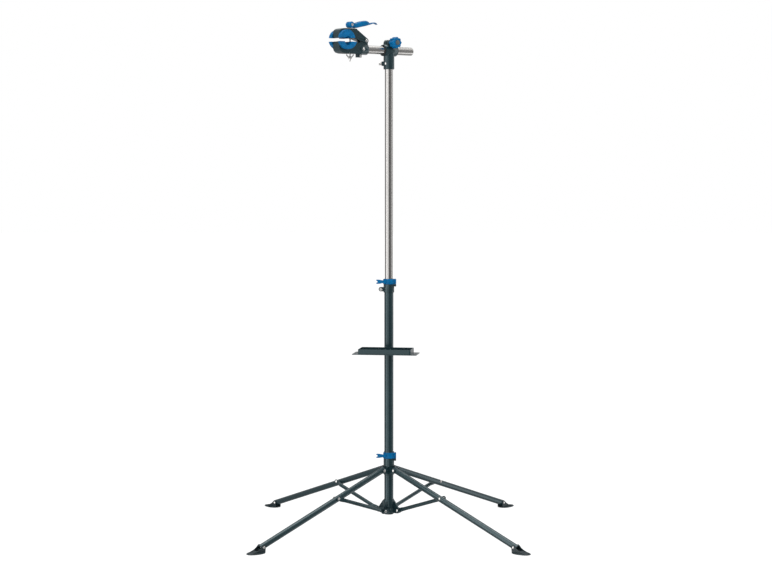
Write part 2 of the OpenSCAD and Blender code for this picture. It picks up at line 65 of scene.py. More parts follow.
# Noise keeps mostly between these two levels, so patterns are stretched from them.
NOISE_LOW, NOISE_HIGH = 0.3, 0.7
JOINTS = {joint["name"]: joint for joint in frame["joints"]}
LEGS = (1, 2, 3, 4)


def linear(code):
    """An sRGB hex value such as "1B5FA8" as linear red, green and blue."""
    channels = [int(code[i:i + 2], 16) / 255 for i in (0, 2, 4)]
    return tuple(c / 12.92 if c <= 0.04045 else ((c + 0.055) / 1.055) ** 2.4 for c in channels)


def pivot(joint):
    """The joint's place at rest, in metres."""
    return Vector(JOINTS[joint]["pos_m"])


def axis_of(joint):
    """The joint's direction at rest."""
    return Vector(JOINTS[joint]["axis"]).normalized()


def span(node):
    """The lowest and highest corners of a node at rest."""
    low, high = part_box(node)
    return Vector(low), Vector(high)


def local_frame(origin, x_axis, y_axis):
    """A matrix from a piece's own millimetres to the stand's metres."""
    x = x_axis.normalized()
    y = (y_axis - y_axis.dot(x) * x).normalized()
    z = x.cross(y)
    turn = Matrix((x, y, z)).transposed().to_4x4()
    return Matrix.Translation(origin) @ turn @ Matrix.Scale(MM, 4)


ARM_DIR = axis_of("arm_slide")
ACROSS = axis_of("knob_turn")
ARM_FRAME = local_frame(pivot("arm_roll"), ARM_DIR, ACROSS)


# ---------------------------------------------------------------- settings


class StandColours(bpy.types.PropertyGroup):
    """Colours of the stand's finishes."""

    powder: FloatVectorProperty(
        name="Powder coat", description="Anthracite coat on the tubes and castings",
        subtype="COLOR", size=3, min=0, max=1, default=linear("13262B"))
    plating: FloatVectorProperty(
        name="Plated tube", description="Bright mast and arm",
        subtype="COLOR", size=3, min=0, max=1, default=linear("C6C4C1"))
    moulding: FloatVectorProperty(
        name="Blue moulding", description="Levers, knob and jaw pads",
        subtype="COLOR", size=3, min=0, max=1, default=linear("005C8E"))
    fastener: FloatVectorProperty(
        name="Fasteners", description="Zinc-plated rivets, pins and bolts",
        subtype="COLOR", size=3, min=0, max=1, default=linear("F0EFEC"))
    nylon: FloatVectorProperty(
        name="Nylon", description="Bushes, plugs and guides",
        subtype="COLOR", size=3, min=0, max=1, default=linear("1E2122"))
    cap: FloatVectorProperty(
        name="Knob cap", description="Grey disc in the knob's face",
        subtype="COLOR", size=3, min=0, max=1, default=linear("4A5254"))


class StandSizes(bpy.types.PropertyGroup):
    """Sizes of the pieces that are finished here."""

    casting_edge: FloatProperty(
        name="Casting edge", description="Rounding along the edges of the castings",
        unit="LENGTH", min=0.0002, max=0.003, default=0.0012)
    sheet_edge: FloatProperty(
        name="Sheet edge", description="Rounding along the edges of the tray",
        unit="LENGTH", min=0.0002, max=0.001, default=0.0006)
    moulded_edge: FloatProperty(
        name="Moulded edge", description="Rounding along the edges of the blue mouldings",
        unit="LENGTH", min=0.0003, max=0.003, default=0.0014)
    thread_pitch: FloatProperty(
        name="Thread pitch", description="Pitch of the clamp rod's thread",
        unit="LENGTH", min=0.0008, max=0.003, default=0.0015)
    knob_lobes: FloatProperty(
        name="Lobe depth", description="How far the knob's lobes stand out",
        unit="LENGTH", min=0.001, max=0.005, default=0.0034)


# ---------------------------------------------------------------- finishes


def add_node(tree, kind, settings=None, links=None):
    """Adds a shader node, sets its sockets or options and links its inputs."""
    node = tree.nodes.new(kind)
    for name, value in (settings or {}).items():
        if isinstance(name, str) and hasattr(node, name):
            setattr(node, name, value)
        else:
            node.inputs[name].default_value = value
    for name, source in (links or {}).items():
        tree.links.new(source, node.inputs[name])
    return node


def new_finish(name, **surface):
    """A material with one shader, whose constants sit on the shader's own sockets."""
    material = bpy.data.materials.new(name)
    material.use_nodes = True
    tree = material.node_tree
    tree.nodes.clear()
    shader = add_node(tree, "ShaderNodeBsdfPrincipled", surface)
    add_node(tree, "ShaderNodeOutputMaterial", links={"Surface": shader.outputs[0]})
    place = add_node(tree, "ShaderNodeTexCoord").outputs["Object"]
    return material, tree, shader, place


def grain(tree, place, size_mm, detail=3.0, stretch=(1, 1, 1)):
    """Noise whose grains are size_mm across, drawn out along an axis by stretch."""
    moved = add_node(tree, "ShaderNodeMapping", {"Scale": stretch}, {"Vector": place}).outputs[0]
    return add_node(tree, "ShaderNodeTexNoise",
                    {"Scale": 1 / (size_mm * MM), "Detail": detail}, {"Vector": moved}).outputs["Fac"]


def spread(tree, fac, low, high):
    """Maps a 0 to 1 pattern to the range from low to high."""
    return add_node(tree, "ShaderNodeMapRange",
                    {"From Min": NOISE_LOW, "From Max": NOISE_HIGH, "To Min": low, "To Max": high},
                    {"Value": fac}).outputs["Result"]


def shades(tree, fac, dark, light):
    """A colour that wanders between two shades."""
    ramp = add_node(tree, "ShaderNodeValToRGB", links={"Fac": fac})
    ramp.color_ramp.elements[0].position = NOISE_LOW
    ramp.color_ramp.elements[0].color = (*dark, 1)
    ramp.color_ramp.elements[1].position = NOISE_HIGH
    ramp.color_ramp.elements[1].color = (*light, 1)
    return ramp.outputs["Color"]


def tint(colour, factor):
    """The colour made darker or lighter by a factor."""
    return tuple(min(1, c * factor) for c in colour)


def bump(tree, fac, height_mm, strength):
    """A relief of height_mm."""
    return add_node(tree, "ShaderNodeBump", {"Strength": strength, "Distance": height_mm * MM},
                    {"Height": fac}).outputs["Normal"]


def dress(tree, shader, colour, roughness, relief):
    """Links a finish's three patterns to its shader."""
    tree.links.new(colour, shader.inputs["Base Color"])
    tree.links.new(roughness, shader.inputs["Roughness"])
    tree.links.new(relief, shader.inputs["Normal"])


def powder_coat(colours):
    """Polyester powder on steel: baked on, so it has a faint orange peel and an even satin gloss.

    The anthracite pigment leans to blue-green, and it tints the gloss as well as the colour.
    """
    material, tree, shader, place = new_finish(
        "powder_coated_steel", Metallic=0.0, IOR=1.5,
        **{"Specular Tint": (0.64, 0.95, 1.0, 1.0), "Coat Weight": 0.5, "Coat Roughness": 0.12})
    tone = grain(tree, place, 60)
    # The peel is really under 1 mm across; it is drawn at 2 mm so that it shows.
    peel = grain(tree, place, 2.0, detail=2.0)
    dress(tree, shader,
          shades(tree, tone, tint(colours.powder, 0.88), tint(colours.powder, 1.14)),
          spread(tree, peel, 0.24, 0.33), bump(tree, peel, 0.02, 0.3))
    return material


def chromed_tube(colours, name, along):
    """Chromed steel tube: polished lengthwise, so fine lines run along it and blur what it mirrors."""
    material, tree, shader, place = new_finish(name, Metallic=1.0)
    turn = add_node(tree, "ShaderNodeMapping",
                    {"Rotation": along.to_track_quat("Z", "Y").inverted().to_euler()},
                    {"Vector": place}).outputs[0]
    # Polishing lines are a few hundredths of a millimetre wide; 2.5 mm is what still shows.
    lines = grain(tree, turn, 2.5, detail=1.0, stretch=(1, 1, 0.002))
    clouds = grain(tree, place, 90)
    dress(tree, shader,
          shades(tree, clouds, tint(colours.plating, 0.93), colours.plating),
          spread(tree, lines, 0.15, 0.18), bump(tree, lines, 0.004, 0.05))
    return material


def glossy_blue(colours):
    """Glass-filled nylon, moulded: smooth and glossy, with faint flow marks in the colour."""
    material, tree, shader, place = new_finish(
        "moulded_blue_nylon", Metallic=0.0, IOR=1.45, **{"Specular IOR Level": 0.16})
    flow = grain(tree, place, 14, stretch=(1, 1, 0.4))
    skin = grain(tree, place, 1.2, detail=2.0)
    dress(tree, shader,
          shades(tree, flow, tint(colours.moulding, 0.74), tint(colours.moulding, 1.16)),
          spread(tree, skin, 0.14, 0.24), bump(tree, skin, 0.03, 0.4))
    return material


def pad_blue(colours):
    """Thermoplastic rubber, moulded: the same blue with a softer, finely etched skin."""
    material, tree, shader, place = new_finish(
        "moulded_blue_pad_rubber", Metallic=0.0, IOR=1.45, **{"Specular IOR Level": 0.12})
    flow = grain(tree, place, 18)
    etch = grain(tree, place, 0.9, detail=2.0)
    dress(tree, shader,
          shades(tree, flow, tint(colours.moulding, 0.78), tint(colours.moulding, 1.16)),
          spread(tree, etch, 0.36, 0.5), bump(tree, etch, 0.05, 0.5))
    return material


def zinc_plate(colours):
    """Bright zinc on steel: a milky metal with a fine crystal mottle."""
    material, tree, shader, place = new_finish("bright_zinc_plated_steel", Metallic=1.0)
    crystals = grain(tree, place, 1.5)
    dress(tree, shader,
          shades(tree, crystals, tint(colours.fastener, 0.9), colours.fastener),
          spread(tree, crystals, 0.22, 0.36), bump(tree, crystals, 0.02, 0.3))
    return material


def moulded(name, colour, rough, grain_mm):
    """Etched nylon moulding: an even matt skin with a shallow grain."""
    material, tree, shader, place = new_finish(name, Metallic=0.0, IOR=1.5)
    tone = grain(tree, place, 25)
    etch = grain(tree, place, grain_mm, detail=2.0)
    dress(tree, shader,
          shades(tree, tone, tint(colour, 0.85), tint(colour, 1.15)),
          spread(tree, etch, rough - 0.06, rough + 0.08), bump(tree, etch, 0.08, 0.5))
    return material


FINISHES = {}


def finish(name):
    """The finish of that name, made the first time it is asked for."""
    if name not in FINISHES:
        colours = bpy.context.scene.stand_colours
        makers = {
            "powder": lambda: powder_coat(colours),
            "mast": lambda: chromed_tube(colours, "chromed_mast_tube", UP),
            "arm": lambda: chromed_tube(colours, "chromed_arm_tube", ARM_DIR),
            "blue": lambda: glossy_blue(colours),
            "pad": lambda: pad_blue(colours),
            "zinc": lambda: zinc_plate(colours),
            "nylon": lambda: moulded("black_etched_nylon", colours.nylon, 0.5, 0.9),
            "foot": lambda: moulded("dark_foot_moulding", tint(colours.powder, 0.9), 0.42, 1.4),
            "cap": lambda: moulded("grey_knob_cap", colours.cap, 0.4, 0.9),
        }
        FINISHES[name] = makers[name]()
    return FINISHES[name]


# ---------------------------------------------------------------- mesh helpers


def mesh_piece(name, verts, faces, to_stand, finish_name, crease=35):
    """A new piece from points in its own millimetres."""
    mesh = bpy.data.meshes.new(name)
    mesh.from_pydata([to_stand @ Vector(v) for v in verts], [], faces)
    mesh.update()
    work = bmesh.new()
    work.from_mesh(mesh)
    bmesh.ops.remove_doubles(work, verts=work.verts, dist=1e-6)
    bmesh.ops.recalc_face_normals(work, faces=work.faces)
    work.to_mesh(mesh)
    work.free()
    mesh.polygons.foreach_set("use_smooth", [True] * len(mesh.polygons))
    mesh.set_sharp_from_angle(angle=math.radians(crease))
    mesh.materials.append(finish(finish_name))
    piece = bpy.data.objects.new(name, mesh)
    bpy.context.scene.collection.objects.link(piece)
    return piece


def prism(outline, low, high):
    """Points and faces of an outline in X and Y, raised from low to high."""
    n = len(outline)
    verts = [(x, y, low) for x, y in outline] + [(x, y, high) for x, y in outline]
    faces = [tuple(range(n))[::-1], tuple(range(n, 2 * n))]
    faces += [(i, (i + 1) % n, n + (i + 1) % n, n + i) for i in range(n)]
    return verts, faces


def loft(rings):
    """Points and faces of a skin over rings that have the same number of points, closed at both ends."""
    n = len(rings[0])
    verts = [p for ring in rings for p in ring]
    faces = []
    for k in range(len(rings) - 1):
        a, b = k * n, (k + 1) * n
        faces += [(a + i, a + (i + 1) % n, b + (i + 1) % n, b + i) for i in range(n)]
    faces.append(tuple(range(n))[::-1])
    faces.append(tuple(range(len(verts) - n, len(verts))))
    return verts, faces


def joined(*shapes):
    """Several shapes as one list of points and one of faces."""
    verts, faces = [], []
    for more_verts, more_faces in shapes:
        start = len(verts)
        verts += more_verts
        faces += [tuple(start + i for i in face) for face in more_faces]
    return verts, faces


def arc(cx, cy, radius, start, end, steps=16):
    """Points along an arc, with angles in degrees."""
    turns = [math.radians(start + (end - start) * k / steps) for k in range(steps + 1)]
    return [(cx + radius * math.cos(t), cy + radius * math.sin(t)) for t in turns]


def circle(radius, points):
    """Points round a circle about the origin, as pairs."""
    return [(radius * math.cos(t), radius * math.sin(t))
            for t in (2 * math.pi * k / points for k in range(points))]


def round_edges(piece, width, segments=3, angle=32):
    """Rounds a piece's edges, as a mould or a cutter leaves them."""
    bevel = piece.modifiers.new("rounded_edges", "BEVEL")
    bevel.width = width
    bevel.segments = segments
    bevel.limit_method = "ANGLE"
    bevel.angle_limit = math.radians(angle)
    bevel.harden_normals = True
    bevel.use_clamp_overlap = True
    bevel.miter_outer = "MITER_ARC"


def soften(node, width):
    """Rounds the edges of a CAD node in place; the weld first joins its split corners."""
    piece = frame["nodes"][node]
    weld = piece.modifiers.new("joined_corners", "WELD")
    weld.merge_threshold = 0.01 * MM
    round_edges(piece, width, 2)


def coat(node, finish_name):
    """Gives a CAD node its finish."""
    piece = frame["nodes"][node]
    piece.data.materials.clear()
    piece.data.materials.append(finish(finish_name))


def stand_for(piece, node, body):
    """The piece, already in its finish, takes the place of a CAD node on its body."""
    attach(piece, body)
    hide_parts(node)


def reach(node, direction, origin=Vector((0, 0, 0))):
    """How far a node stretches along a direction from origin, lowest and highest, in millimetres."""
    dots = [(v.co - origin).dot(direction) / MM for v in frame["nodes"][node].data.vertices]
    return min(dots), max(dots)


def rounded_ring(x, y_mid, z_mid, half_y, half_z, power, points=28):
    """A cross-section at x: an ellipse at power 2, and nearer a rounded box as power grows."""
    ring = []
    for k in range(points):
        t = 2 * math.pi * k / points
        c, s = math.cos(t), math.sin(t)
        y = half_y * math.copysign(abs(c) ** (2 / power), c)
        z = half_z * math.copysign(abs(s) ** (2 / power), s)
        ring.append((x, y_mid + y, z_mid + z))
    return ring


def eased(t):
    """0 to 1 with a soft start and end."""
    t = max(0.0, min(1.0, t))
    return t * t * (3 - 2 * t)


def between(stations, per_gap=5):
    """A smooth run through rows of numbers, with per_gap steps between two rows."""
    rows = []
    last = len(stations) - 1
    for k in range(last):
        before, here, there, after = (stations[max(0, min(last, k + d))] for d in (-1, 0, 1, 2))
        for step in range(per_gap):
            t = step / per_gap
            rows.append(tuple(
                0.5 * (2 * b + (c - a) * t + (2 * a - 5 * b + 4 * c - d) * t * t
                       + (3 * b - a - 3 * c + d) * t ** 3)
                for a, b, c, d in zip(before, here, there, after)))
    rows.append(tuple(stations[-1]))
    return rows


# ---------------------------------------------------------------- braces and feet


def brace_piece(leg):
    """A tube whose two ends are pressed flat and rounded off for their rivets."""
    node = f"brace_{leg}"
    low_pivot, high_pivot = pivot(f"brace_{leg}_fold"), pivot(f"leg_{leg}_fold")
    side = axis_of(f"leg_{leg}_fold")
    length = (high_pivot - low_pivot).length / MM
    inner, outer = reach(node, side)
    radius = (outer - inner) / 2
    eye, flat = 8.0, 4.0  # half height and thickness of the pressed end
    press_start, press_end = 13.0, 34.0  # where the tube starts to open and is round again
    rings = []
    # places along the brace: the rounded end, the flat, the opening part, then the same in mirror
    stations = [-eye * math.cos(math.radians(a)) for a in range(8, 91, 10)]
    stations += [4, 9, press_start]
    stations += [press_start + (press_end - press_start) * k / 8 for k in range(1, 9)]
    stations += [length / 2]
    stations += [length - s for s in reversed(stations[:-1])]
    for x in stations:
        near = min(x, length - x)
        opened = eased((near - press_start) / (press_end - press_start))
        half_z = eye if near > 0 else math.sqrt(max(0.3, eye * eye - near * near))
        half_z += (radius - eye) * opened
        half_y = flat / 2 + (radius - flat / 2) * opened
        power = 6 - 4 * opened  # a rounded box that turns into a circle
        rings.append(rounded_ring(x, inner + half_y, 0, half_y, half_z, power))
    verts, faces = loft(rings)
    place = local_frame(low_pivot, high_pivot - low_pivot, side)
    return mesh_piece(f"pressed_{node}", verts, faces, place, "powder", crease=50)


def egg(x_back, x_front, half_back, half_front, points=56):
    """An egg-shaped outline with its wide end at the back."""
    middle = (x_back + x_front) / 2
    half = (x_front - x_back) / 2
    outline = []
    for k in range(points):
        t = 2 * math.pi * k / points
        width = (half_back + half_front) / 2 - (half_back - half_front) / 2 * math.cos(t)
        c, s = math.cos(t), math.sin(t)
        outline.append((middle + half * math.copysign(abs(c) ** 0.9, c),
                        width * math.copysign(abs(s) ** 0.85, s)))
    return outline


def foot_piece(leg):
    """A tilting foot: an oval sole, two cheeks for the rivet and a low web between them."""
    node = f"foot_{leg}"
    hinge = pivot(f"foot_{leg}_tilt")
    side = axis_of(f"foot_{leg}_tilt")
    ground = Vector((hinge.x, hinge.y, 0))
    outward = ground.normalized()
    place = local_frame(ground, outward, side)
    back, front = reach(node, outward, ground)
    half = reach(node, side)[1]
    height = hinge.z / MM
    outline = egg(back, front, half, half * 0.76)
    middle = (back + front) / 2
    # share of the outline and height: the sole's rim is rounded above and below
    rim = ((0.95, 0), (0.985, 0.5), (1, 1.4), (1, 2.4), (0.985, 3.4), (0.95, 4.0), (0.9, 4.2))
    rings = [[(middle + (x - middle) * grow, y * grow, z) for x, y in outline] for grow, z in rim]
    shapes = [loft(rings)]
    cheek = arc(0, height, 8.5, 172, 52, 12)
    cheek += [(14, height - 1.5), (26, height - 8), (40, height - 12.5), (front - 9, 4), (front - 12, 2)]
    cheek += [(back + 4, 2), (back + 3, 6)]
    gap_half, thick = 11.4, 3.0  # half the room between the cheeks, and a cheek's thickness
    web = [(24, 3), (27, height - 9.5), (38, height - 13), (front - 14, 3)]
    for profile, low, high in ((cheek, -gap_half - thick, -gap_half),
                               (cheek, gap_half, gap_half + thick),
                               (web, -gap_half - 1, gap_half + 1)):
        verts, faces = prism(profile, low, high)
        shapes.append(([(x, y, z) for x, z, y in verts], faces))
    verts, faces = joined(*shapes)
    piece = mesh_piece(f"tilting_{node}", verts, faces, place, "foot")
    round_edges(piece, 0.7 * MM)
    return piece


# ---------------------------------------------------------------- blue levers and knob


def quick_lever_piece(node, hinge_joint, name):
    """A quick-release lever: a band round the collar's front, a knuckle, and a forked finger end."""
    low, high = span(node)
    height = (high.z - low.z) / MM
    hinge = pivot(hinge_joint)
    hinge_at = (hinge.x / MM, hinge.y / MM)
    tip = low.x / MM
    band_radius, band_thick = 20.7, 3.2
    # x, y, height and thickness along the band, then along the finger end
    band = []
    for angle in range(-20, -167, -6):
        t = math.radians(angle)
        band.append((band_radius * math.cos(t), band_radius * math.sin(t), height, band_thick))
    finger = [(-11.0, -20.3, 12.5, 4.0), (-18.0, -20.8, 13.0, 4.2), (-23.0, -21.0, 11.0, 4.0),
              (-27.0, -20.9, 12.2, 3.8), (-32.0, -20.5, 14.6, 3.6), (-38.0, -20.1, 15.8, 3.6),
              (-42.5, -20.0, 15.9, 3.5)]
    shapes = []
    for rows in (band, between(finger, 4)):
        rings = []
        for k, (x, y, tall, thick) in enumerate(rows):
            before, after = rows[max(0, k - 1)], rows[min(len(rows) - 1, k + 1)]
            run = Vector((after[0] - before[0], after[1] - before[1])).normalized()
            side = Vector((-run.y, run.x))
            ring = rounded_ring(0, 0, height / 2, thick / 2, tall / 2, 5, 24)
            rings.append([(x + side.x * p[1], y + side.y * p[1], p[2]) for p in ring])
        shapes.append(loft(rings))
    # x, distance above or below the middle, and height along a prong of the fork
    prong_rows = ((-41.5, 5.0, 5.9), (-43.5, 5.3, 5.2), (tip + 1.2, 5.6, 4.4), (tip, 5.7, 3.2))
    for end in (-1, 1):
        shapes.append(loft([rounded_ring(x, -20.0, height / 2 + end * offset, 1.8, tall / 2, 4, 20)
                            for x, offset, tall in prong_rows]))
    # height and radius of the knuckle, chamfered at both ends
    knuckle_rows = ((0, 3.6), (0.5, 4.4), (1.6, 5.0),
                    (height - 1.6, 5.0), (height - 0.5, 4.4), (height, 3.6))
    shapes.append(loft([[(x, y, z) for x, y in arc(*hinge_at, radius, 0, 345, 23)]
                        for z, radius in knuckle_rows]))
    verts, faces = joined(*shapes)
    place = Matrix.Translation(Vector((0, 0, low.z))) @ Matrix.Scale(MM, 4)
    piece = mesh_piece(name, verts, faces, place, "blue", crease=40)
    round_edges(piece, 0.6 * MM, 2, 50)
    return piece


def cam_lever_piece():
    """The clamp's cam lever: a round cam, a humped body and a thin finger end that curls up."""
    home = ARM_FRAME.inverted() @ pivot("cam_swing")
    # along the arm back from the cam, then top, underside and half width at that place
    stations = [(-4, 10.6, -6.5, 11.0), (-10, 9.6, -9.5, 11.6), (-17, 6.2, -11.0, 12.0),
                (-25, 8.0, -11.0, 12.4), (-35, 11.6, -9.0, 12.8), (-46, 14.6, -6.6, 13.0),
                (-58, 16.8, -4.0, 12.8), (-70, 17.6, -1.5, 12.2), (-80, 14.6, 1.4, 10.6),
                (-87, 10.2, 3.2, 9.4), (-95, 10.8, 5.6, 9.4), (-104, 13.0, 8.6, 9.8),
                (-112, 13.0, 9.2, 9.4), (-119, 10.9, 7.8, 8.0), (-124, 7.8, 5.7, 5.4)]
    body = [rounded_ring(home.x + x, 0, home.z + (top + under) / 2, half, (top - under) / 2, 3.6, 32)
            for x, top, under, half in between(stations, 4)]
    shapes = [loft(body)]
    cam_rings = []
    # place across the arm and radius of the cam, with its rims rounded off
    for v, radius in ((-12, 9.6), (-11.6, 10.9), (-10.6, 11.6), (10.6, 11.6), (11.6, 10.9), (12, 9.6)):
        cam_rings.append([(home.x + x, v, home.z + z) for x, z in circle(radius, 48)])
    shapes.append(loft(cam_rings))
    verts, faces = joined(*shapes)
    return mesh_piece("humped_cam_lever", verts, faces, ARM_FRAME, "blue", crease=40)


def knob_piece():
    """The arm's locking knob: eight rounded lobes, a dished face and a plain boss behind."""
    depth = bpy.context.scene.stand_sizes.knob_lobes / MM
    centre = ARM_FRAME.inverted() @ pivot("knob_turn")
    v0, v1 = reach("head_knob", ACROSS)
    boss_end = v0 + 9.7  # where the boss widens into the grip
    root = 17.4  # radius between two lobes
    lobes, points = 8, 128
    # distance along the screw, radius and share of the lobes
    stations = [(v0, 8.0, 0), (v0 + 0.8, 8.8, 0), (boss_end - 1, 9.0, 0), (boss_end - 0.4, 11.2, 0.1),
                (boss_end, root - 2.6, 0.6), (boss_end + 0.8, root - 1.0, 0.85),
                (boss_end + 2.4, root - 0.1, 1), (boss_end + 10, root, 1), (v1 - 3.4, root - 0.1, 1),
                (v1 - 1.4, root - 0.8, 0.92), (v1 - 0.4, root - 2.2, 0.8), (v1, root - 4.2, 0.5),
                (v1 - 0.5, 11.6, 0.1), (v1 - 1.4, 9.2, 0), (v1 - 2.2, 9.0, 0)]
    rings = []
    for v, radius, share in stations:
        ring = []
        for k in range(points):
            t = 2 * math.pi * k / points
            lobe = (0.5 + 0.5 * math.cos(lobes * t)) ** 0.75
            r = radius + depth * share * lobe
            ring.append((centre.x + r * math.cos(t), v, centre.z + r * math.sin(t)))
        rings.append(ring)
    verts, faces = loft(rings)
    return mesh_piece("lobed_head_knob", verts, faces, ARM_FRAME, "blue", crease=50)


# ---------------------------------------------------------------- clamp rod and wing nut


def threaded_rod_piece():
    """The clamp rod with its thread cut from end to end."""
    low, high = span("clamp_rod")
    pitch = bpy.context.scene.stand_sizes.thread_pitch / MM
    radius = (high.x - low.x) / 2 / MM
    around, per_turn = 16, 4  # points round the rod and rings in a turn
    depth, chamfer_length, chamfer_depth = 0.45, 1.5, 0.6
    steps = int((high.z - low.z) / MM / pitch * per_turn)
    rings = []
    for k in range(steps + 1):
        z = k * pitch / per_turn
        ends = min(1, z / chamfer_length, (steps * pitch / per_turn - z) / chamfer_length)
        ring = []
        for m in range(around):
            phase = (z / pitch - m / around) % 1
            crest = abs(2 * phase - 1)
            r = radius - depth * crest - chamfer_depth * (1 - ends)
            t = 2 * math.pi * m / around
            ring.append((r * math.cos(t), r * math.sin(t), z))
        rings.append(ring)
    verts, faces = loft(rings)
    foot = Vector(((low.x + high.x) / 2, (low.y + high.y) / 2, low.z))
    place = Matrix.Translation(foot) @ Matrix.Scale(MM, 4)
    return mesh_piece("threaded_clamp_rod", verts, faces, place, "zinc", crease=80)


def wing_nut_piece():
    """A cast wing nut: a tapered hub and two wings that widen and lean outwards."""
    nut = pivot("wing_nut_turn")
    low, high = span("wing_nut")
    place = local_frame(Vector((nut.x, nut.y, low.z)), ARM_DIR, ACROSS)
    hub_height = 9.0
    hub = [[(x, y, z) for x, y in circle(radius, 32)]
           for z, radius in ((0, 6.0), (0.5, 6.8), (hub_height - 1, 5.6), (hub_height, 4.9))]
    shapes = [loft(hub)]
    tip_height = (high.z - low.z) / MM
    # distance out, middle height, half height and half thickness of a wing
    stations = [(3.5, 4.6, 3.4, 1.7), (7, 6.4, 3.4, 1.4), (11, 9.6, 3.6, 1.2), (14.5, 12.6, 4.0, 1.1),
                (16.6, tip_height - 3.9, 3.2, 1.0), (17.6, tip_height - 3.4, 1.2, 0.6)]
    for way in (1, -1):
        rings = [[(x * way, y * way, z) for x, y, z in rounded_ring(out, 0, mid, thick, tall, 2.6, 20)]
                 for out, mid, tall, thick in between(stations, 3)]
        shapes.append(loft(rings))
    verts, faces = joined(*shapes)
    return mesh_piece("cast_wing_nut", verts, faces, place, "zinc", crease=50)


# ---------------------------------------------------------------- operators


class StandOperator:
    """What the stand's operators share."""

    bl_options = {"REGISTER", "UNDO"}


class STAND_OT_tubes(StandOperator, bpy.types.Operator):
    """Coat the pole and legs, and plate the mast and arm"""

    bl_idname = "stand.tubes"
    bl_label = "Tubes"

    def execute(self, context):
        for node in ("lower_tube", *(f"leg_{leg}" for leg in LEGS)):
            coat(node, "powder")
        coat("mast_tube", "mast")
        coat("arm_tube", "arm")
        coat("arm_cap", "arm")
        soften("arm_cap", 1.0 * MM)
        return {"FINISHED"}


class STAND_OT_castings(StandOperator, bpy.types.Operator):
    """Round and coat the hubs, the collar, the head and the jaws"""

    bl_idname = "stand.castings"
    bl_label = "Castings"

    def execute(self, context):
        edge = context.scene.stand_sizes.casting_edge
        for node in ("base_hub", "slider_hub", "mast_collar", "head_casting", "lower_jaw", "upper_jaw"):
            coat(node, "powder")
            soften(node, edge)
        return {"FINISHED"}


class STAND_OT_braces(StandOperator, bpy.types.Operator):
    """Build the four pressed-end braces"""

    bl_idname = "stand.braces"
    bl_label = "Braces"

    def execute(self, context):
        for leg in LEGS:
            stand_for(brace_piece(leg), f"brace_{leg}", f"brace_{leg}")
        return {"FINISHED"}


class STAND_OT_feet(StandOperator, bpy.types.Operator):
    """Build the four tilting feet"""

    bl_idname = "stand.feet"
    bl_label = "Feet"

    def execute(self, context):
        for leg in LEGS:
            stand_for(foot_piece(leg), f"foot_{leg}", f"foot_{leg}")
        return {"FINISHED"}


class STAND_OT_quick_levers(StandOperator, bpy.types.Operator):
    """Build the two quick-release levers"""

    bl_idname = "stand.quick_levers"
    bl_label = "Quick-release levers"

    def execute(self, context):
        for node in ("slider_lever", "mast_lever"):
            piece = quick_lever_piece(node, f"{node}_swing", f"forked_{node}")
            stand_for(piece, node, node)
        return {"FINISHED"}


class STAND_OT_cam_lever(StandOperator, bpy.types.Operator):
    """Build the clamp's cam lever"""

    bl_idname = "stand.cam_lever"
    bl_label = "Cam lever"

    def execute(self, context):
        stand_for(cam_lever_piece(), "cam_lever", "cam_lever")
        return {"FINISHED"}


class STAND_OT_knob(StandOperator, bpy.types.Operator):
    """Build the lobed knob and finish its cap"""

    bl_idname = "stand.knob"
    bl_label = "Knob"

    def execute(self, context):
        stand_for(knob_piece(), "head_knob", "knob")
        coat("knob_cap", "cap")
        return {"FINISHED"}


class STAND_OT_clamp_screw(StandOperator, bpy.types.Operator):
    """Build the threaded clamp rod and its wing nut"""

    bl_idname = "stand.clamp_screw"
    bl_label = "Clamp rod and wing nut"

    def execute(self, context):
        stand_for(threaded_rod_piece(), "clamp_rod", "clamp_rod")
        stand_for(wing_nut_piece(), "wing_nut", "wing_nut")
        return {"FINISHED"}


class STAND_OT_pads(StandOperator, bpy.types.Operator):
    """Round and finish the two jaw pads"""

    bl_idname = "stand.pads"
    bl_label = "Jaw pads"

    def execute(self, context):
        for node in ("lower_pad", "upper_pad"):
            coat(node, "pad")
            soften(node, context.scene.stand_sizes.moulded_edge)
        return {"FINISHED"}


class STAND_OT_tray(StandOperator, bpy.types.Operator):
    """Round and coat the tray and its clamp"""

    bl_idname = "stand.tray"
    bl_label = "Tray"

    def execute(self, context):
        sizes = context.scene.stand_sizes
        for node, edge in (("tray", sizes.sheet_edge), ("tray_clamp", sizes.casting_edge)):
            coat(node, "powder")
            soften(node, edge)
        return {"FINISHED"}


class STAND_OT_fasteners(StandOperator, bpy.types.Operator):
    """Plate the rivets, pins and bolts, and finish the bushes and plugs"""

    bl_idname = "stand.fasteners"
    bl_label = "Fasteners and bushes"

    def execute(self, context):
        plated = ["base_rivets", "slider_rivets", "slider_lever_pin", "mast_lever_pin",
                  "mast_collar_bolt", "head_bolts", "knob_screw", "jaw_pin", "jaw_bolt", "jaw_rivet",
                  "thrust_plate", "barrel_pin"]
        plated += [f"{kind}_rivet_{leg}" for kind in ("leg", "foot") for leg in LEGS]
        for node in plated:
            coat(node, "zinc")
        for node in ("base_plug", "slider_liner", "mast_liner", "mast_guide", "arm_liner", "tray_bush"):
            coat(node, "nylon")
        coat("tray_bolts", "powder")
        return {"FINISHED"}


# Upright cards round the stand, as start and end in degrees and brightness. 0 is in front and
# positive is to the right. The bright slots draw the long highlights on the tubes, and the dim ones
# the dark bands between them.
CARDS = ((-180, -72, 0.42), (-72, -50, 2.4), (-50, -3, 1.0), (-3, 50, 0.15), (50, 92, 0.28), (92, 110, 1.6),
         (110, 180, 0.45))
CARD_DISTANCE, CARD_LOW, CARD_HIGH = 1.7, -1.2, 3.0
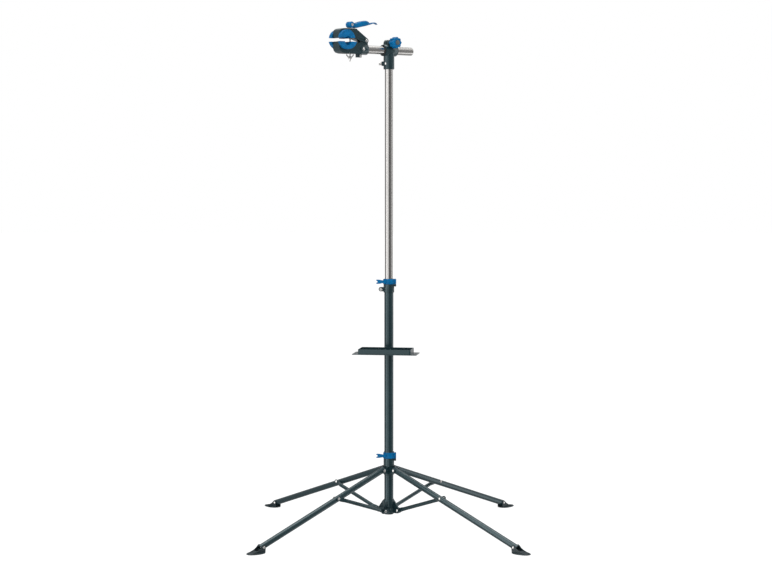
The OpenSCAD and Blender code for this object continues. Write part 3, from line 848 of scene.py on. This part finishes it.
# name, place, target, size and power of each lamp
LAMPS = (("key", (-2.6, -3.4, 3.4), (0, 0, 1.0), (1.6, 2.2), 90),
         ("fill", (3.4, -2.6, 2.4), (0, 0, 0.9), (2.0, 2.0), 45),
         ("top", (0, 0.6, 4.6), (0, 0, 0), (3.0, 3.0), 60))
CAMERA_PLACE = (0.0175, -7.146, 1.373)
CAMERA_DIP, CAMERA_TURN = 3.789, 0.226  # degrees below level and to the left
CAMERA_LENS, CAMERA_SENSOR = 89.67, 36  # millimetres
FLOOR_HALF, FLOOR_GLOW = 30, 0.88


def studio_world():
    """White paper behind the stand for the eye, and a room that is light overhead for everything else."""
    world = bpy.data.worlds.new("studio")
    bpy.context.scene.world = world
    world.use_nodes = True
    tree = world.node_tree
    tree.nodes.clear()
    way = add_node(tree, "ShaderNodeTexCoord").outputs["Generated"]
    parts = add_node(tree, "ShaderNodeSeparateXYZ", links={"Vector": way}).outputs
    # light grey overhead, darker towards the floor
    ramp = add_node(tree, "ShaderNodeMapRange",
                    {"From Min": -0.7, "From Max": 0.7, "To Min": 0.4, "To Max": 1.0},
                    {"Value": parts["Z"]})
    camera_sees = add_node(tree, "ShaderNodeLightPath").outputs["Is Camera Ray"]
    room = add_node(tree, "ShaderNodeBackground", links={"Strength": ramp.outputs["Result"]})
    paper = add_node(tree, "ShaderNodeBackground", {"Color": (1, 1, 1, 1), "Strength": 1.0})
    mix = add_node(tree, "ShaderNodeMixShader",
                   links={0: camera_sees, 1: room.outputs[0], 2: paper.outputs[0]})
    add_node(tree, "ShaderNodeOutputWorld", links={"Surface": mix.outputs[0]})


def soft_light(name, place, target, size, power):
    """A large soft light that faces the stand and that the camera doesn't see."""
    lamp = bpy.data.lights.new(name, "AREA")
    lamp.shape = "RECTANGLE"
    lamp.size, lamp.size_y = size
    lamp.energy = power
    light = bpy.data.objects.new(name, lamp)
    light.location = place
    light.rotation_euler = (Vector(target) - Vector(place)).to_track_quat("-Z", "Y").to_euler()
    light.visible_camera = False
    bpy.context.scene.collection.objects.link(light)


def pale_floor():
    """White seamless paper, which stays white and takes only a faint shadow."""
    material, tree, shader, place = new_finish("white_seamless_paper", Roughness=0.9, IOR=1.3)
    fibre = grain(tree, place, 400)
    tree.links.new(shades(tree, fibre, (0.17, 0.17, 0.17), (0.19, 0.19, 0.19)), shader.inputs["Base Color"])
    shader.inputs["Emission Color"].default_value = (1, 1, 1, 1)
    shader.inputs["Emission Strength"].default_value = FLOOR_GLOW
    mesh = bpy.data.meshes.new("floor")
    corners = [(x * FLOOR_HALF, y * FLOOR_HALF, 0) for x, y in ((-1, -1), (1, -1), (1, 1), (-1, 1))]
    mesh.from_pydata(corners, [], [(0, 1, 2, 3)])
    mesh.materials.append(material)
    floor = bpy.data.objects.new("floor", mesh)
    floor.visible_glossy = False
    bpy.context.scene.collection.objects.link(floor)


def studio_card(name, start, end, level):
    """An upright curved card that only the gloss mirrors."""
    material = bpy.data.materials.new(name)
    material.use_nodes = True
    tree = material.node_tree
    tree.nodes.clear()
    glow = add_node(tree, "ShaderNodeEmission", {"Color": (level, level, level * 1.01, 1), "Strength": 1.0})
    add_node(tree, "ShaderNodeOutputMaterial", links={"Surface": glow.outputs[0]})
    steps = 12
    points = arc(0, 0, CARD_DISTANCE, start - 90, end - 90, steps)
    verts = [(x, y, z) for z in (CARD_LOW, CARD_HIGH) for x, y in points]
    mesh = bpy.data.meshes.new(name)
    mesh.from_pydata(verts, [], [(k, k + 1, k + steps + 2, k + steps + 1) for k in range(steps)])
    mesh.materials.append(material)
    card = bpy.data.objects.new(name, mesh)
    card.visible_camera = card.visible_diffuse = card.visible_shadow = False
    card.visible_transmission = card.visible_volume_scatter = False
    bpy.context.scene.collection.objects.link(card)


class STAND_OT_studio(StandOperator, bpy.types.Operator):
    """Lay the pale floor, light the stand and set up the camera"""

    bl_idname = "stand.studio"
    bl_label = "Studio"

    def execute(self, context):
        scene = context.scene
        scene.view_settings.view_transform = "Standard"
        studio_world()
        pale_floor()
        for number, card in enumerate(CARDS):
            studio_card(f"card_{number}", *card)
        for lamp in LAMPS:
            soft_light(*lamp)
        lens = bpy.data.cameras.new("camera")
        lens.sensor_width = CAMERA_SENSOR
        lens.lens = CAMERA_LENS
        lens.clip_end = 2 * FLOOR_HALF
        camera = bpy.data.objects.new("camera", lens)
        camera.location = CAMERA_PLACE
        camera.rotation_euler = (math.radians(90 - CAMERA_DIP), 0, math.radians(CAMERA_TURN))
        scene.collection.objects.link(camera)
        scene.camera = camera
        return {"FINISHED"}


class STAND_PT_sidebar(bpy.types.Panel):
    """The stand's pieces, colours and sizes"""

    bl_label = "Repair stand"
    bl_idname = "STAND_PT_sidebar"
    bl_space_type = "VIEW_3D"
    bl_region_type = "UI"
    bl_category = "Stand"

    def draw(self, context):
        layout = self.layout
        for group in (context.scene.stand_colours, context.scene.stand_sizes):
            box = layout.box()
            for name in group.__annotations__:
                box.prop(group, name)
        for operator in OPERATORS:
            layout.operator(operator.bl_idname)


OPERATORS = (STAND_OT_tubes, STAND_OT_castings, STAND_OT_braces, STAND_OT_feet, STAND_OT_quick_levers,
             STAND_OT_cam_lever, STAND_OT_knob, STAND_OT_clamp_screw, STAND_OT_pads, STAND_OT_tray,
             STAND_OT_fasteners, STAND_OT_studio)
CLASSES = (StandColours, StandSizes, *OPERATORS, STAND_PT_sidebar)


def register():
    """Makes the settings, the operators and the panel known to Blender."""
    for cls in CLASSES:
        bpy.utils.register_class(cls)
    bpy.types.Scene.stand_colours = PointerProperty(type=StandColours)
    bpy.types.Scene.stand_sizes = PointerProperty(type=StandSizes)


def unregister():
    """Takes away what register added."""
    del bpy.types.Scene.stand_sizes
    del bpy.types.Scene.stand_colours
    for cls in reversed(CLASSES):
        bpy.utils.unregister_class(cls)


def main():
    """Builds the whole stand."""
    register()
    for operator in OPERATORS:
        getattr(bpy.ops.stand, operator.bl_idname.split(".")[1])()


if __name__ == "__main__":
    main()
